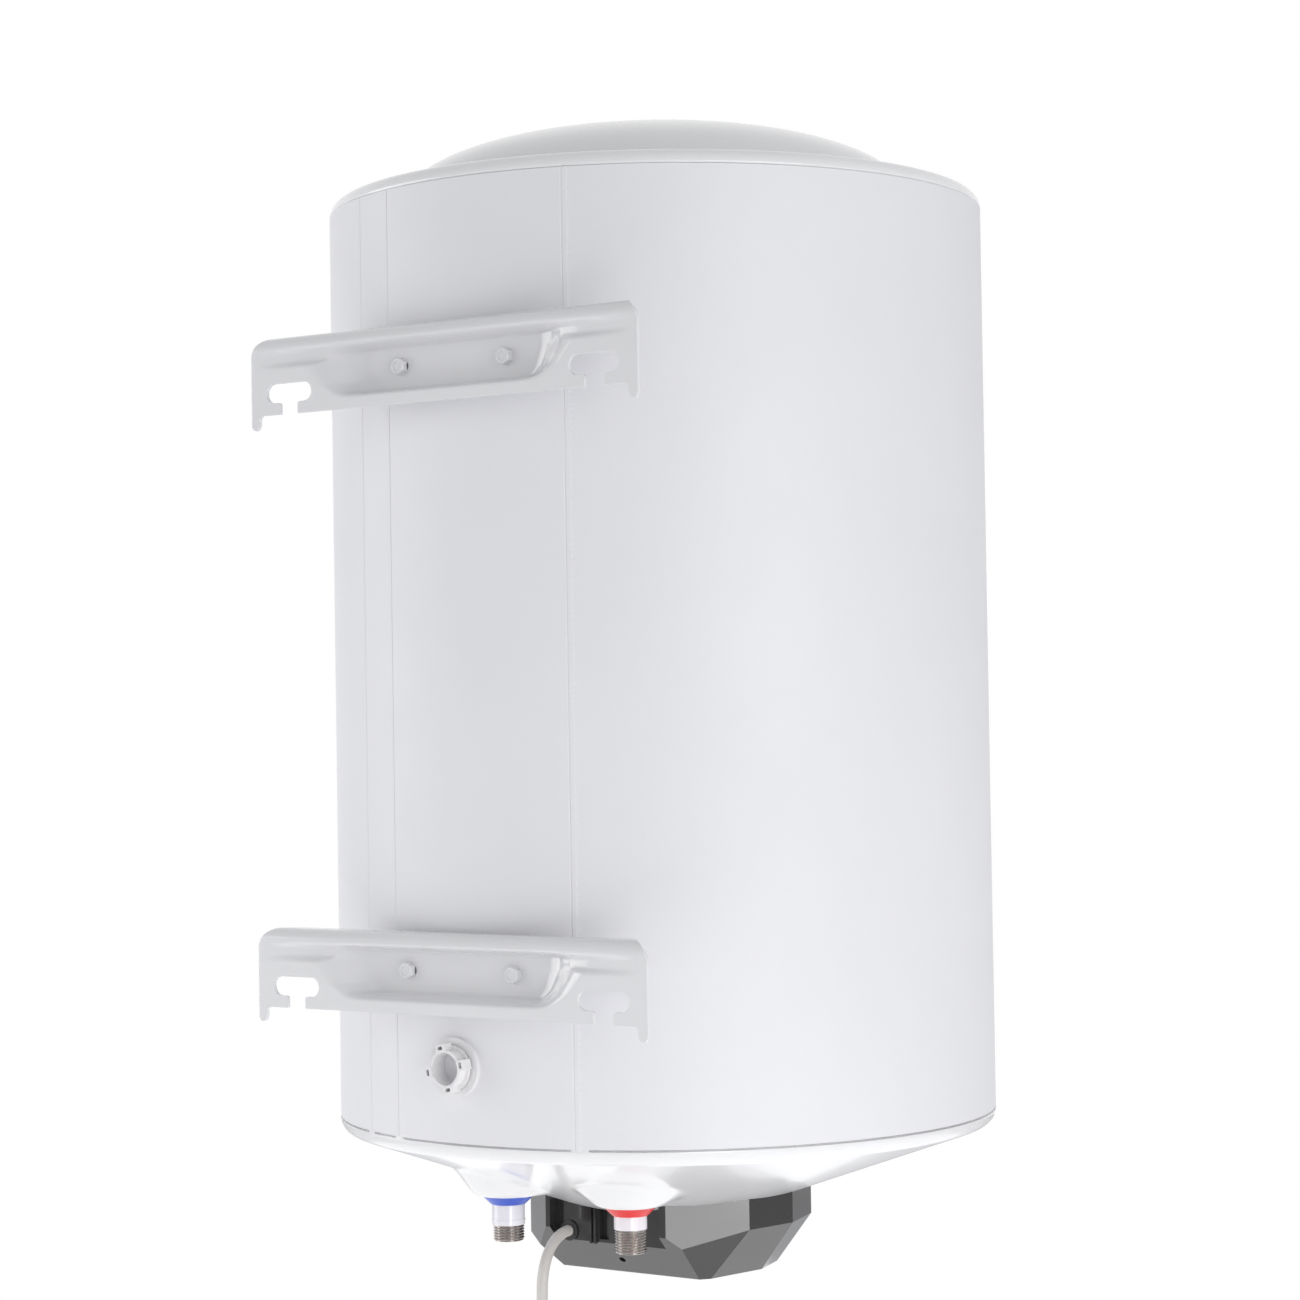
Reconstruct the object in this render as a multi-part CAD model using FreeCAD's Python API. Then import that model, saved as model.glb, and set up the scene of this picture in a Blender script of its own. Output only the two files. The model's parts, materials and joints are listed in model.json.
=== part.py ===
import FreeCAD, Part
import os
from math import atan, cos, degrees, hypot, pi, radians, sin, sqrt, tan

# Wall-hung electric storage water heater, 80 litre class.  Millimetres, +Z up.
# The wall is the plane y = 0 and the heater stands on its -Y side, front towards -Y.
# z = 0 is the centre line of the hanging slots in the upper wall bracket.

os.makedirs("parts", exist_ok=True)
V = FreeCAD.Vector

# ---- driving dimensions -------------------------------------------------------------
CASING_R = 225.0            # outside radius of the painted casing
CASING_T = 0.8              # casing sheet
WALL_GAP = 20.0             # wall plane to the nearest line of the casing
CASING_TOP = 130.0          # upper edge of the cylindrical casing
CASING_BOT = -485.0         # lower edge of the cylindrical casing
RIM_R = 10.0                # rounding of both cap rims
CAP_T = 1.5                 # cap wall
LIP_H = 9.0                 # lip of each cap inside the casing
DOME_RISE = 47.0            # top dome, height
DOME_STEP = 2.5             # low step round the dome
DISH_SLOPE = 0.35           # fall of the bottom cap per mm of radius
SEAM_ANGLE = 20.5           # lock seam, degrees from the wall side towards -X
FOAM_GAP = 20.0             # tank shell to casing
TANK_T = 2.0                # tank steel
HEAD_RISE = 40.0            # depth of each dished tank head
PIPE_PITCH = 100.0          # cold to hot pipe
THREAD_R = 20.955 / 2       # G 1/2 major radius
THREAD_L = 15.7             # thread of the hot pipe
SLEEVE_LAP = 4.8            # the cold sleeve covers this much of the same height
PIPE_R = 9.5                # plain pipe above the thread
BORE_R = 7.5                # pipe bore
BOSS_DROP = 6.85            # flat boss at each pipe, below the dish
SHEET = 2.5                 # bracket steel
BRACKET_HALF = 155.5        # half length of a wall bracket
BRACKET_TOP = 37.3          # bracket top above the slot line
BRACKET_BOT = -14.0         # bracket lower edge
HOOK_BOT = -23.5            # end of the outer tongues
BEND_R = 9.0                # outer bend of the bracket top
CORNER_R = 14.0             # upper corners of a bracket
SLOT_L = 38.5               # slot length
SLOT_W = 12.5               # slot width
NECK_W = 15.0               # width of the way in from below
BOLT_Z = 12.0               # bracket bolts above the slot line
BOLT_HOLE_R = 3.3
M6_R = 3.0                  # bracket and flange bolts
POST_R = 8.0                # welded posts behind the brackets
FLANGE_R = 58.0             # heating flange radius
COVER_DROP = 44.9           # underside of the control cover below the dish edge
COVER_T = 2.5               # control cover wall
SPACER_X = 7.0              # lower wall spacer
SPACER_R = 19.0             # flange of the spacer socket
CORD_R = 3.75               # mains cord
COIL_R = 40.0               # centre line of the tied cord coil
TURNS = 4

# ---- sizes that follow from them ----------------------------------------------------
DISH_HOLE_R = FLANGE_R + 12.0           # service opening of the bottom cap
AX = V(0, -WALL_GAP - CASING_R, 0)      # heater axis
DOME_R = CASING_R - 51.0                # top dome, plan radius
DISH_ARC = 90.0 - degrees(atan(DISH_SLOPE))
DISH_START_R = CASING_R - RIM_R + RIM_R * cos(radians(DISH_ARC))
DISH_START_Z = CASING_BOT - RIM_R * sin(radians(DISH_ARC))


def dish_z(r):
    """Height of the outside of the bottom cap at a radius inside its rim."""
    return DISH_START_Z - DISH_SLOPE * (DISH_START_R - r)


EDGE_Z = dish_z(DISH_HOLE_R)            # edge of the service opening
TANK_R = CASING_R - FOAM_GAP            # outside radius of the tank shell
TANK_TOP = CASING_TOP - 38.0            # upper edge of the tank shell
TANK_BOT = CASING_BOT + 33.0            # lower edge of the tank shell
PIPE_BACK = 117.5                       # pipe centres, from the axis towards the wall
PIPE_Y = AX.y + PIPE_BACK
PIPES = {"cold": PIPE_PITCH / 2, "hot": -PIPE_PITCH / 2}
BOSS_Z = dish_z(hypot(PIPE_PITCH / 2, PIPE_BACK)) - BOSS_DROP
PIPE_END = BOSS_Z - 30.5                # open end of both pipes
THREAD_TOP = PIPE_END + THREAD_L
LOWER_Z = CASING_BOT + 98.0             # slot line of the lower bracket
SPACER_Z = LOWER_Z - 48.3               # lower wall spacer
SLOT_X = BRACKET_HALF - 32.5            # slot centres from the middle
BOLT_X = BRACKET_HALF - 113.0           # bracket bolts from the middle
BOLTS = [(s * BOLT_X, BOLT_Z + z0) for z0 in (0.0, LOWER_Z) for s in (-1, 1)]
FLANGE_Z = EDGE_Z + 24.3                # joint face of the heating flange
FLANGE_PCD = 2 * (FLANGE_R - 8.0)
NECK_R = FLANGE_R - 16.0                # neck welded into the tank head
PLATE_Z = FLANGE_Z - 6.0                # underside of the flange plate
COVER_BOT = EDGE_Z - COVER_DROP         # underside of the control cover
COVER_LIMIT = EDGE_Z + 16.3             # nothing of the cover stands above this
CHASSIS_Z = COVER_BOT + 26.0            # steel chassis inside the cover
FAR = 900.0                             # reach of the cutting blocks
Z = V(0, 0, 1)
Y = V(0, 1, 0)


def save(name, shape):
    """Write one node and say how many solids it holds."""
    shape = shape.removeSplitter() if len(shape.Solids) == 1 else shape
    shape.exportStep("parts/%s.step" % name)
    print(name, len(shape.Solids), round(shape.Volume / 1000.0, 2), shape.isValid())
    return shape


def cyl(r, h, at, axis=Z):
    return Part.makeCylinder(r, h, at, axis)


def post_hole(r, x, y, z, length):
    """Round hole from a depth behind the wall side straight towards the wall."""
    return cyl(r, length, V(x, y, z), Y)


def ring(ro, ri, h, at, axis=Z):
    return cyl(ro, h, at, axis).cut(cyl(ri, h, at, axis))


def box(x0, x1, y0, y1, z0, z1):
    return Part.makeBox(x1 - x0, y1 - y0, z1 - z0, V(x0, y0, z0))


def turned(points, at=AX):
    """Solid of revolution about a vertical axis from (radius, z) points."""
    pts = [V(at.x + r, at.y, z) for r, z in points]
    face = Part.Face(Part.makePolygon(pts + [pts[0]]))
    return face.revolve(V(at.x, at.y, 0), Z, 360)


def prism_xz(points, y0, y1):
    """Straight prism along Y from (x, z) points."""
    pts = [V(x, y0, z) for x, z in points]
    return Part.Face(Part.makePolygon(pts + [pts[0]])).extrude(V(0, y1 - y0, 0))


def hexagon(af, h, at, axis=Z):
    """Hexagonal prism, af across flats, standing on a point along an axis."""
    r = af / sqrt(3)
    pts = [V(r * cos(radians(60 * k + 30)), r * sin(radians(60 * k + 30)), 0) for k in range(6)]
    solid = Part.Face(Part.makePolygon(pts + [pts[0]])).extrude(V(0, 0, h))
    cone = Part.makeCone(r + 0.55 * h, r - 0.225 * h, h, V(0, 0, 0), Z)
    solid = solid.common(cone)
    solid.Placement = FreeCAD.Placement(at, FreeCAD.Rotation(Z, axis))
    return solid


def union(shapes):
    out = shapes[0]
    for s in shapes[1:]:
        out = out.fuse(s)
    return out


def arc_points(cx, cz, r, a0, a1, n):
    """Points of an arc, angles in degrees from the first axis."""
    step = (a1 - a0) / n
    return [(cx + r * cos(radians(a0 + step * k)), cz + r * sin(radians(a0 + step * k)))
            for k in range(n + 1)]


# ---- caps -------------------------------------------------------------------------------
def cap_outline(base, sign, inset):
    """Cap rim from the casing edge inwards as (radius, z), moved in by the cap wall."""
    r = RIM_R - inset
    return [(x, base + sign * (z - base)) for x, z in
            arc_points(CASING_R - RIM_R, base, r, 0, 90, 10)]


def top_line(inset):
    line = [(CASING_R - inset, CASING_TOP)] + cap_outline(CASING_TOP, 1, inset)[1:]
    start = CASING_TOP + RIM_R - inset + DOME_STEP
    line.append((DOME_R + 6.0, start - 0.5))
    line += [(DOME_R * cos(radians(a)), start + DOME_RISE * sin(radians(a))) for a in range(0, 90, 5)]
    line.append((0.0, start + DOME_RISE))
    return line


def cap_lip(z0, z1):
    return ring(CASING_R - CASING_T, CASING_R - CASING_T - CAP_T, z1 - z0, V(AX.x, AX.y, z0))


def top_cap():
    shell = turned(top_line(0.0) + [(0.0, CASING_TOP)])
    inner = turned(top_line(CAP_T) + [(0.0, CASING_TOP)])
    lip = cap_lip(CASING_TOP - LIP_H, CASING_TOP + 2.0)
    return shell.cut(inner).fuse(lip)


def dish_line(inset, r_end):
    """Bottom cap from the casing edge inwards: the rim arc runs into the dish without a kink."""
    r = RIM_R - inset
    arc = [(x, 2 * CASING_BOT - z) for x, z in
           arc_points(CASING_R - RIM_R, CASING_BOT, r, 0, DISH_ARC, 8)]
    x1, z1 = arc[-1]
    return arc + [(r_end, z1 - DISH_SLOPE * (x1 - r_end))]


def dish_solid(inset):
    line = dish_line(inset, DISH_HOLE_R)
    return turned(line + [(0.0, line[-1][1]), (0.0, CASING_BOT)])


BOSS_R = (20.0, 36.0)       # pipe boss at its flat end and where it leaves the dish
BOSS_H = 30.0
COLLAR_NECK_R = 13.5        # part of the coloured collar inside the boss


def bosses(inset):
    out = []
    for x in PIPES.values():
        at = V(x, PIPE_Y, BOSS_Z + inset)
        out.append(Part.makeCone(BOSS_R[0] - inset, BOSS_R[1] - inset, BOSS_H - inset, at, Z))
    return out


def bottom_cap():
    shell = union([dish_solid(0.0)] + bosses(0.0))
    inner = union([dish_solid(CAP_T)] + bosses(CAP_T))
    shell = shell.common(box(-FAR, FAR, -FAR, FAR, -FAR, CASING_BOT))
    cap = shell.cut(inner).cut(cyl(DISH_HOLE_R, 60, V(AX.x, AX.y, EDGE_Z - 20)))
    for x in PIPES.values():
        cap = cap.cut(cyl(COLLAR_NECK_R, 20, V(x, PIPE_Y, BOSS_Z - 10)))
    return cap.fuse(cap_lip(CASING_BOT - 2.0, CASING_BOT + LIP_H))


# ---- wall brackets ----------------------------------------------------------------------
# pressed pocket, half of each edge as (distance from the bracket end, height)
MOUTH = [(43.5, BRACKET_TOP - 9.3), (45.5, 17.0), (58.5, 4.0), (73.5, -4.5)]
FLOOR = [(88.5, BRACKET_TOP - 9.8), (88.5, 17.0), (89.5, 5.0), (94.5, -2.5)]
# how far each of those four points moves up when the pocket grows by 1 mm
LIFT = (1.0, 0.0, -0.5, -1.0)
FLOOR_LIFT = (1.0, 0.0, 0.0, -1.0)


def pocket_edge(half, lift, grow, y):
    """Closed edge of the pocket at one depth, grown outwards by the sheet where asked."""
    left = [(end - BRACKET_HALF - grow, z + up * grow) for (end, z), up in zip(half, lift)]
    return pocket_wire(left + [(-x, z) for x, z in reversed(left)], y)


def pocket_wire(pts, y):
    """Closed wire of straight runs and arcs through the pocket corners."""
    def cut_corner(p, a, b, r):
        d = [(q[0] - p[0], q[1] - p[1]) for q in (a, b)]
        ln = [hypot(*v) for v in d]
        s = min(r, 0.45 * ln[0], 0.45 * ln[1])
        ends = [(p[0] + v[0] / n * s, p[1] + v[1] / n * s) for v, n in zip(d, ln)]
        mid = tuple(0.25 * ends[0][k] + 0.25 * ends[1][k] + 0.5 * p[k] for k in (0, 1))
        return ends[0], mid, ends[1]

    n = len(pts)
    cuts = [cut_corner(pts[k], pts[k - 1], pts[(k + 1) % n], 7.0) for k in range(n)]
    edges = []
    for k in range(n):
        a, m, b = [V(p[0], y, p[1]) for p in cuts[k]]
        nxt = V(cuts[(k + 1) % n][0][0], y, cuts[(k + 1) % n][0][1])
        edges.append(Part.Arc(a, m, b).toShape())
        edges.append(Part.makeLine(b, nxt))
    return Part.Wire(edges)


def ear_groove(side, grow):
    """Shallow groove that runs out above each ear, deep end at the pocket."""
    def frame(x, z0, z1, d):
        pts = [V(side * x, 0.6, z0 - grow), V(side * x, 0.6, z1 + grow),
               V(side * x, -d - grow, z1 + grow - 2), V(side * x, -d - grow, z0 - grow + 2)]
        return Part.makePolygon(pts + [pts[0]])
    return Part.makeLoft([frame(BRACKET_HALF - 65.5, 17.5, 28.0, 6.5),
                          frame(BRACKET_HALF - 9.5, 22.0, 27.0, 0.5)], True, True)


def bracket(z0, slotted_side):
    h, t, r = BRACKET_HALF, SHEET, CORNER_R
    outline = arc_points(h - r, BRACKET_TOP - r, r, 0, 90, 8)
    outline += [(-x, z) for x, z in reversed(outline)]
    hook = [(-h, HOOK_BOT + 3.0), (-h + 1.2, HOOK_BOT + 0.6), (-h + 3.3, HOOK_BOT),
            (-h + 5.6, HOOK_BOT + 0.8), (-h + 6.8, HOOK_BOT + 3.4), (-h + 6.8, BRACKET_BOT - 1.8),
            (-h + 8.6, BRACKET_BOT)]
    outline += hook + [(-x, z) for x, z in reversed(hook)]
    plate = prism_xz(outline, -t, 0.0)
    # top bend and the flange that goes back over the casing
    xb = h - r + 3.0
    bend_z = BRACKET_TOP - BEND_R
    back_y = -WALL_GAP + 3.0
    out = arc_points(-BEND_R, bend_z, BEND_R, 0, 90, 8)
    back = arc_points(-BEND_R, bend_z, BEND_R - t, 90, 0, 8)
    prof = out + [(back_y, BRACKET_TOP), (back_y, BRACKET_TOP - t)] + back
    pts = [V(-xb, y, z) for y, z in prof]
    flange = Part.Face(Part.makePolygon(pts + [pts[0]])).extrude(V(2 * xb, 0, 0))
    plate = plate.cut(box(-xb, xb, -t - 1, 1, bend_z, BRACKET_TOP + 1)).fuse(flange)
    # pressed pocket down to the casing
    skin = Part.makeLoft([pocket_edge(MOUTH, LIFT, t, -t / 2),
                          pocket_edge(FLOOR, FLOOR_LIFT, t, -WALL_GAP)], True, True)
    hollow = Part.makeLoft([pocket_edge(MOUTH, LIFT, 0, 0.01),
                            pocket_edge(FLOOR, FLOOR_LIFT, 0, -WALL_GAP + t)], True, True)
    below_bend = box(-FAR, FAR, -FAR, -0.05, -FAR, bend_z + 2.0)
    grooves = [ear_groove(s, 0.0) for s in (-1, 1)]
    backs = [ear_groove(s, t).common(below_bend) for s in (-1, 1)]
    body = union([plate, skin.common(below_bend)] + backs).cut(hollow)
    for g in grooves:
        body = body.cut(g)
    # hanging slots, open downwards
    half = SLOT_L / 2 - SLOT_W / 2
    for cx in (-SLOT_X, SLOT_X):
        slot = union([box(cx - half, cx + half, -8, 2, -SLOT_W / 2, SLOT_W / 2),
                      cyl(SLOT_W / 2, 10, V(cx - half, -8, 0), Y),
                      cyl(SLOT_W / 2, 10, V(cx + half, -8, 0), Y),
                      box(cx - NECK_W / 2, cx + NECK_W / 2, -8, 2, HOOK_BOT - 6, 0)])
        body = body.cut(slot)
    # one round bolt hole and one slotted hole
    deep = -WALL_GAP - 10.0
    for s in (-1, 1):
        play = 3.0 if s == slotted_side else 0.01
        for dx in (-play, play):
            body = body.cut(cyl(BOLT_HOLE_R, 20, V(s * BOLT_X + dx, deep, BOLT_Z), Y))
        body = body.cut(box(s * BOLT_X - play, s * BOLT_X + play, deep, deep + 20,
                            BOLT_Z - BOLT_HOLE_R, BOLT_Z + BOLT_HOLE_R))
    body.translate(V(0, 0, z0))
    return body


def bracket_bolts(z0):
    out = []
    for s in (-1, 1):
        at = V(s * BOLT_X, -WALL_GAP + SHEET, BOLT_Z + z0)
        bolt = hexagon(10.0, 4.5, at, Y).fuse(cyl(M6_R, 20.0, V(at.x, at.y - 20.0, at.z), Y))
        out.append(bolt.cut(cyl(3.1, 1.0, V(at.x, at.y + 3.9, at.z), Y)))
    return Part.makeCompound(out)


def mount_posts(z0, tank):
    """Threaded posts welded to the tank, standing through the casing to the bracket."""
    out = []
    for s in (-1, 1):
        at = V(s * BOLT_X, -WALL_GAP - 40.0, BOLT_Z + z0)
        post = cyl(POST_R, 40.0, at, Y).cut(cyl(M6_R, 60.0, V(at.x, at.y + 18.0, at.z), Y))
        out.append(post.cut(tank))
    return Part.makeCompound(out)


# ---- control cover ----------------------------------------------------------------------
# half of the cover in plan as (x, distance from the heater axis towards the wall)
SIDE = [(-49.5, 77.0), (-91.0, 39.0), (-99.0, -2.0), (-88.0, -43.0), (-55.0, -80.0)]
RIDGE = 34.5                # widest line of the cover sides, above its underside
REAR_RIDGE = 19.0           # the same line on the +X rear corner
FRONT_FOOT = -52.0          # foot of the front facet, from the axis
# the sloping facets under the ridge: three points of each plane as (x, from axis, above underside)
FACETS = [((-49.5, 77.0, 31.0), (49.5, 77.0, 31.0), (0.0, 48.0, 0.0)),
          ((-61.0, 64.0, 22.0), (*SIDE[1], RIDGE), (-57.0, 47.0, 0.0)),
          ((*SIDE[1], RIDGE), (*SIDE[2], RIDGE), (-69.0, 2.0, 0.0)),
          ((*SIDE[2], RIDGE), (*SIDE[3], RIDGE), (-63.0, -35.0, 0.0)),
          ((*SIDE[3], RIDGE), (*SIDE[4], RIDGE), (-48.0, -55.0, 0.0)),
          ((-55.0, -80.0, RIDGE), (55.0, -80.0, RIDGE), (0.0, FRONT_FOOT, 0.0)),
          ((55.0, -80.0, RIDGE), (88.0, -43.0, RIDGE), (48.0, -55.0, 0.0)),
          ((88.0, -43.0, RIDGE), (99.0, -2.0, RIDGE), (63.0, -35.0, 0.0)),
          ((99.0, -2.0, RIDGE), (91.0, 39.0, REAR_RIDGE), (69.0, 2.0, 0.0)),
          ((70.0, 58.0, 16.0), (91.0, 39.0, REAR_RIDGE), (57.0, 47.0, 0.0))]


def keep_side(shape, a, b, c, inside, inset):
    """Keep the part of a shape on the inner side of the plane through a, b, c."""
    n = (b - a).cross(c - a)
    n.normalize()
    if (inside - a).dot(n) > 0:
        n = n * -1
    foot = a - n * inset
    block = Part.makeBox(4 * FAR, 4 * FAR, 4 * FAR, V(-2 * FAR, -2 * FAR, 0))
    block.Placement = FreeCAD.Placement(foot, FreeCAD.Rotation(Z, n))
    return shape.cut(block)


def cover_form(inset):
    """Faceted outside (inset 0) or inside (inset = wall) of the control cover."""
    centre = V(0, AX.y, COVER_BOT + 28.0)
    form = box(-FAR, FAR, -FAR, 0, COVER_BOT + inset, CASING_BOT)
    plan = SIDE + [(-x, y) for x, y in reversed(SIDE)]
    for k in range(len(plan)):
        (x0, y0), (x1, y1) = plan[k], plan[(k + 1) % len(plan)]
        corner, along = V(x0, AX.y + y0, COVER_BOT), V(x1, AX.y + y1, COVER_BOT)
        form = keep_side(form, corner, along, corner + Z, centre, inset)
    for plane in FACETS:
        a, b, c = [V(x, AX.y + y, COVER_BOT + z) for x, y, z in plane]
        form = keep_side(form, a, b, c, centre, inset)
    return form


FRONT = SIDE[4][1]                      # upper edge of the front facet, from the axis
FACET_N = V(0, -RIDGE, FRONT - FRONT_FOOT)
FACET_N.normalize()                     # outward normal of the sloping front facet
FACET_ROT = FreeCAD.Rotation(V(1, 0, 0), V(0, FACET_N.z, -FACET_N.y), FACET_N, "ZXY")
FACET_MID = V(0, AX.y + (FRONT + FRONT_FOOT) / 2, COVER_BOT + RIDGE / 2)
SWITCH_X = -33.0
LENS_X = 33.0


def on_facet(shape, x):
    """Set a shape drawn on the XY plane onto the sloping front facet."""
    out = shape.copy()
    out.Placement = FreeCAD.Placement(FACET_MID + V(x, 0, 0), FACET_ROT)
    return out


NICHE_Y = AX.y + 69.0       # set-back rear panel between the pipes
NICHE = (-44.0, 46.0)
NICHE_Z = COVER_BOT + 21.5
SLOT_AT = (2.5, 10.5)       # upright slot in the set-back panel
SLOT_IN = 4.5
GLAND = V(35.0, NICHE_Y, COVER_BOT + 28.5)
GLAND_R = 6.0
SCREWS = [(-38.0, AX.y - 17.0), (38.0, AX.y + 17.0)]
RESET_AT = V(0, AX.y + 13.0, COVER_BOT)
SCREW_R = 1.75


def control_cover():
    form = cover_form(0.0)
    inner = cover_form(COVER_T)
    t = COVER_T
    # set-back panel with its own wall, and the slot and ribs beside the hot pipe
    niche = box(NICHE[0], NICHE[1], NICHE_Y, 0, NICHE_Z, FAR)
    niche_wall = box(NICHE[0] - t, NICHE[1] + t, NICHE_Y - t, 0, NICHE_Z - t, FAR)
    slot = box(SLOT_AT[0], SLOT_AT[1], NICHE_Y - SLOT_IN, NICHE_Y + 1, NICHE_Z + 3.0, FAR)
    slot_wall = box(SLOT_AT[0] - t, SLOT_AT[1] + t, NICHE_Y - SLOT_IN - t, NICHE_Y + 1, NICHE_Z + 0.5,
                    FAR)
    shell = form.cut(inner.cut(union([niche_wall, slot_wall])))
    shell = shell.cut(niche).cut(slot)
    for x in (SLOT_AT[1] + 2.5, SLOT_AT[1] + 6.0):
        shell = shell.fuse(box(x - 0.8, x + 0.8, NICHE_Y - 0.5, NICHE_Y + 2.0, NICHE_Z, EDGE_Z + 11.0))
    # fixing bosses, reset hole, cord hole, drain hole and the openings of the front facet
    for x, y in SCREWS:
        shell = shell.fuse(cyl(5.0, CHASSIS_Z - 1.5 - COVER_BOT, V(x, y, COVER_BOT), Z))
        shell = shell.cut(cyl(2.2, 60, V(x, y, COVER_BOT - 10), Z))
        shell = shell.cut(cyl(4.2, 3.0, V(x, y, COVER_BOT), Z))
    shell = shell.cut(cyl(4.0, 12, RESET_AT - Z * 2, Z))
    shell = shell.cut(cyl(GLAND_R, 30, GLAND - Y * 10, Y))
    shell = shell.cut(cyl(2.4, 14, V(0, AX.y + 47.0, COVER_BOT + 17.0), V(0, 0.82, -0.57)))
    shell = shell.cut(on_facet(cyl(3.4, 20, V(0, 0, -10)), 0))
    shell = shell.cut(on_facet(box(-7.0, 7.0, -9.5, 9.5, -10, 10), SWITCH_X))
    shell = shell.cut(on_facet(cyl(3.5, 20, V(0, 0, -10)), LENS_X))
    shell = shell.cut(box(-FAR, FAR, -FAR, FAR, COVER_LIMIT, FAR))
    cap = union([dish_solid(0.0)] + bosses(0.0) + [cyl(DISH_HOLE_R, FAR, V(0, AX.y, EDGE_Z + 3.3), Z)])
    return shell.cut(cap)


# ---- mains cord -------------------------------------------------------------------------
LAY_STEP = 72.0             # degrees round the lay circle for each turn of the coil
LAY_R = 1.02 * CORD_R / sin(radians(LAY_STEP / 2))     # turns lie on this circle round the centre line
COIL_TUBE = LAY_R + CORD_R + 0.05
COIL = GLAND + V(-39.0, 25.0, -108.5)   # middle of the tied coil, clear of both water pipes
# the run from the gland, then the start of the coil; each point from the gland
RUN = [(0.0, -6.0, 0.0), (0.0, 8.0, 0.0), (-0.6, 20.3, -5.1), (-1.6, 29.7, -14.5), (-2.2, 34.8, -26.8),
       (-2.0, 35.2, -40.5), (-0.8, 33.4, -55.5), (2.2, 29.6, -71.5), (5.8, 26.2, -88.5)]
ROUTE = [GLAND + V(*p) for p in RUN] + [COIL + V(COIL_R + LAY_R, 0, 0)]
TAIL_LAY = radians(LAY_STEP * TURNS)
TAIL_TOP = COIL + V(COIL_R + LAY_R * cos(TAIL_LAY), LAY_R * sin(TAIL_LAY), 0)
TAIL = [TAIL_TOP + V(*p) for p in [(0, 0, 0), (0.6, 0.3, -20.0), (0.4, 0.8, -40.0), (0.0, 1.0, -60.0)]]
PLUG_R = 18.5
PLUG_BODY = 24.0
PLUG_H = 61.0               # strain relief, neck and body
PIN_L = 19.0
PIN_R = 2.4


def cord_tube(p, r):
    """Round cord of straight runs joined by tangent arcs; prints its length and radii."""
    edges, radii, start = [], [], p[0]
    for k in range(1, len(p) - 1):
        into, out = p[k] - p[k - 1], p[k + 1] - p[k]
        reach = 0.45 * min(into.Length, out.Length)
        turn = into.getAngle(out)
        radii.append(round(reach / tan(turn / 2)))
        into.normalize()
        out.normalize()
        a, b = p[k] - into * reach, p[k] + out * reach
        bisector = (out - into).normalize()
        rad = reach / tan(turn / 2)
        mid = p[k] + bisector * (rad / cos(turn / 2) - rad)
        edges.append(Part.LineSegment(start, a).toShape())
        edges.append(Part.Arc(a, mid, b).toShape())
        start = b
    edges.append(Part.LineSegment(start, p[-1]).toShape())
    path = Part.Wire(edges)
    section = Part.Wire([Part.makeCircle(r, p[0], p[1] - p[0])])
    tube = path.makePipeShell([section], True, True)
    print("cord run", round(path.Length, 1), "radii", radii, "volume ratio",
          round(tube.Volume / (pi * r * r * path.Length), 4))
    return tube


def cord_tie_band(ri, ro):
    return ring(ro, ri, 5.0, COIL + V(-2.5, 0, COIL_R), V(1, 0, 0))


def cord_coil():
    coil = Part.makeTorus(COIL_R, COIL_TUBE, COIL, Y)
    return coil.cut(cord_tie_band(COIL_TUBE - 0.4, COIL_TUBE + 2))


def cord_tie():
    top = COIL.z + COIL_R + COIL_TUBE
    head = box(COIL.x - 3.5, COIL.x + 3.5, COIL.y - 3.5, COIL.y + 3.5, top, top + 4.0)
    band = cord_tie_band(COIL_TUBE - 0.4, COIL_TUBE + 0.9)
    return band.fuse(head.cut(cyl(COIL_TUBE, 20, COIL + V(-10, 0, COIL_R), V(1, 0, 0))))


def power_plug():
    """Round plug body with a tapered strain relief, mating face down."""
    at = TAIL[-1]
    relief = Part.makeCone(CORD_R + 1.2, 8.5, 28.0, at, Z * -1)
    neck = Part.makeCone(11.0, PLUG_R, 9.0, at - Z * 28.0, Z * -1)
    body = cyl(PLUG_R, PLUG_BODY, at - Z * PLUG_H)
    plug = relief.fuse(neck).fuse(body)
    for s in (-1, 1):
        x = at.x + s * (PLUG_R - 1.6)
        plug = plug.cut(box(x - 1.8, x + 1.8, at.y - 4.0, at.y + 4.0, at.z - PLUG_H, at.z - PLUG_H + 16.0))
    return plug


def plug_pins():
    out = []
    for s in (-1, 1):
        face = TAIL[-1] + V(0, s * 9.5, -PLUG_H)
        out.append(cyl(PIN_R, PIN_L, face - Z * PIN_L).fuse(cyl(PIN_R - 0.4, 6.0, face)))
    return Part.makeCompound(out)


def sweep(points, r):
    """Round rod along a smooth curve through the points."""
    curve = Part.BSplineCurve()
    curve.interpolate(points)
    path = Part.Wire([curve.toShape()])
    tangent = curve.tangent(curve.FirstParameter)[0]
    section = Part.Wire([Part.makeCircle(r, points[0], tangent)])
    return path.makePipeShell([section], True, True)


# ---- build ------------------------------------------------------------------------------
def tank_head(z, sign):
    """Dished head as (outer solid, finished shell), its open edge at one height."""
    def bowl(r, rise):
        line = [(r * cos(radians(a)), z + sign * rise * sin(radians(a))) for a in range(0, 90, 6)]
        return turned(line + [(0.0, z + sign * rise), (0.0, z)])
    outer = bowl(TANK_R, HEAD_RISE)
    return outer, outer.cut(bowl(TANK_R - TANK_T, HEAD_RISE - TANK_T))


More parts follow.
